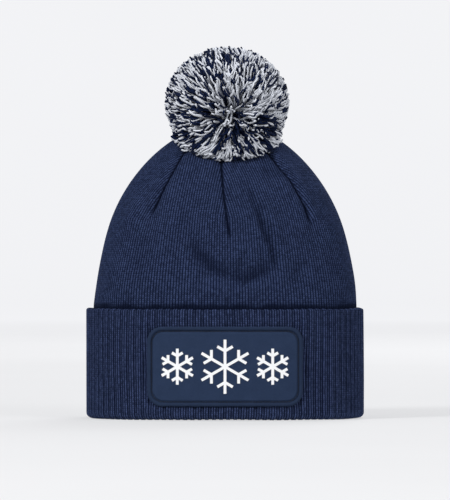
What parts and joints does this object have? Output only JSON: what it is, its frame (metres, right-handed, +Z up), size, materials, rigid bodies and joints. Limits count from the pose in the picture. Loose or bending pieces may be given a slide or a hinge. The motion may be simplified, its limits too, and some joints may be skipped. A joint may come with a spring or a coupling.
{
  "type": "knit beanie",
  "caption": "Cuffed knit beanie: double-layer crown gathered by darts, turned-up rib cuff with a sewn patch, and a two-colour yarn pompom tied to the top.",
  "frame": {"origin": "centre of the hat's box on the plane that the cuff's fold stands on", "axes": "+Z up from the cuff's fold to the pompom, front and patch towards -Y, wearer's left towards +X"},
  "size_m": [0.22, 0.1492, 0.2935],
  "materials": {
    "navy_jersey": "soft acrylic jersey knit, matt",
    "navy_rib": "soft acrylic rib knit, matt",
    "navy_lining": "soft acrylic jersey knit, matt",
    "seam_thread": "spun polyester thread",
    "pompom_yarn": "cut acrylic yarn, navy and light grey",
    "tie_cord": "twisted acrylic cord",
    "patch_cloth": "smooth close-woven cloth, slight sheen",
    "patch_thread": "embroidery thread",
    "white_print": "flat heat-pressed print",
    "label_satin": "woven satin tape, blank"
  },
  "bodies": {
    "root": {"outer_crown": "navy_jersey", "inner_lining": "navy_lining", "cuff": "navy_rib", "crown_to_cuff_seam": "seam_thread", "crown_back_seam": "seam_thread", "cuff_back_seam": "seam_thread", "crown_gather_thread": "seam_thread", "anchor_knot": "tie_cord", "patch_backing": "patch_cloth", "patch_border": "patch_cloth", "patch_panel": "patch_cloth", "patch_stitching": "patch_thread", "care_label": "label_satin", "dart_seam_front": "seam_thread", "dart_seam_front_right": "seam_thread", "dart_seam_back_right": "seam_thread", "dart_seam_back": "seam_thread", "dart_seam_back_left": "seam_thread", "dart_seam_front_left": "seam_thread", "print_snowflake_left": "white_print", "print_snowflake_centre": "white_print", "print_snowflake_right": "white_print"},
    "tie_stem": {"tie_stem": "tie_cord"},
    "pompom": {"pompom_yarn": "pompom_yarn", "pompom_binding": "tie_cord"}
  },
  "joints": [
    {"name": "pompom_nod", "type": "hinge", "parent": "root", "child": "tie_stem", "pos_m": [0, 0.00072, 0.236], "axis": [1, 0, 0], "range_deg": [-12, 12], "stiffness_Nm_per_rad": 0.08},
    {"name": "pompom_sway", "type": "hinge", "parent": "tie_stem", "child": "pompom", "pos_m": [0, 0.00072, 0.236], "axis": [0, 1, 0], "range_deg": [-12, 12], "stiffness_Nm_per_rad": 0.08}
  ]
}
